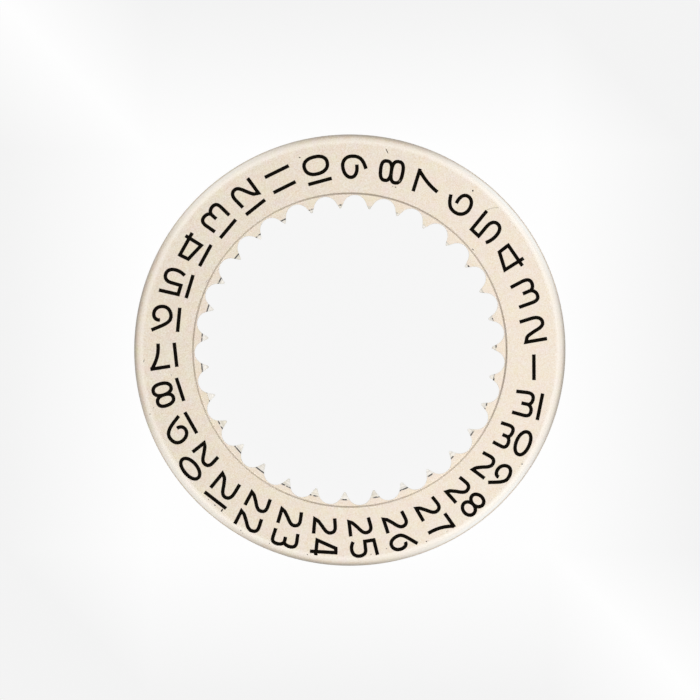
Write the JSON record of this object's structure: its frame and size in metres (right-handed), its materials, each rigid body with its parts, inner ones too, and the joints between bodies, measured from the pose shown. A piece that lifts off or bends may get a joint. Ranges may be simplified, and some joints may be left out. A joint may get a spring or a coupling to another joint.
{
  "type": "watch date disc",
  "caption": "Flat toothed date ring for a calendar watch, with a cream face, a rounded rim, a sunk inner flange of small teeth and black numbers for each day of the month.",
  "frame": {"origin": "centre of the ring on the plane of its underside, at the bottom centre of its box", "axes": "+Z from the underside to the printed face, +X through number 1, which is the middle of a gap between two teeth"},
  "size_m": [0.024, 0.024, 0.0004],
  "materials": {
    "plated_brass": "fine turned and stamped brass with a thin pale nickel plating",
    "cream_lacquer": "satin cream lacquer",
    "black_ink": "matt black printing ink"
  },
  "bodies": {
    "root": {"disc_blank": "plated_brass", "face_lacquer": "cream_lacquer", "numeral_01": "black_ink", "numeral_02": "black_ink", "numeral_03": "black_ink", "numeral_04": "black_ink", "numeral_05": "black_ink", "numeral_06": "black_ink", "numeral_07": "black_ink", "numeral_08": "black_ink", "numeral_09": "black_ink", "numeral_10": "black_ink", "numeral_11": "black_ink", "numeral_12": "black_ink", "numeral_13": "black_ink", "numeral_14": "black_ink", "numeral_15": "black_ink", "numeral_16": "black_ink", "numeral_17": "black_ink", "numeral_18": "black_ink", "numeral_19": "black_ink", "numeral_20": "black_ink", "numeral_21": "black_ink", "numeral_22": "black_ink", "numeral_23": "black_ink", "numeral_24": "black_ink", "numeral_25": "black_ink", "numeral_26": "black_ink", "numeral_27": "black_ink", "numeral_28": "black_ink", "numeral_29": "black_ink", "numeral_30": "black_ink", "numeral_31": "black_ink"}
  },
  "joints": []
}
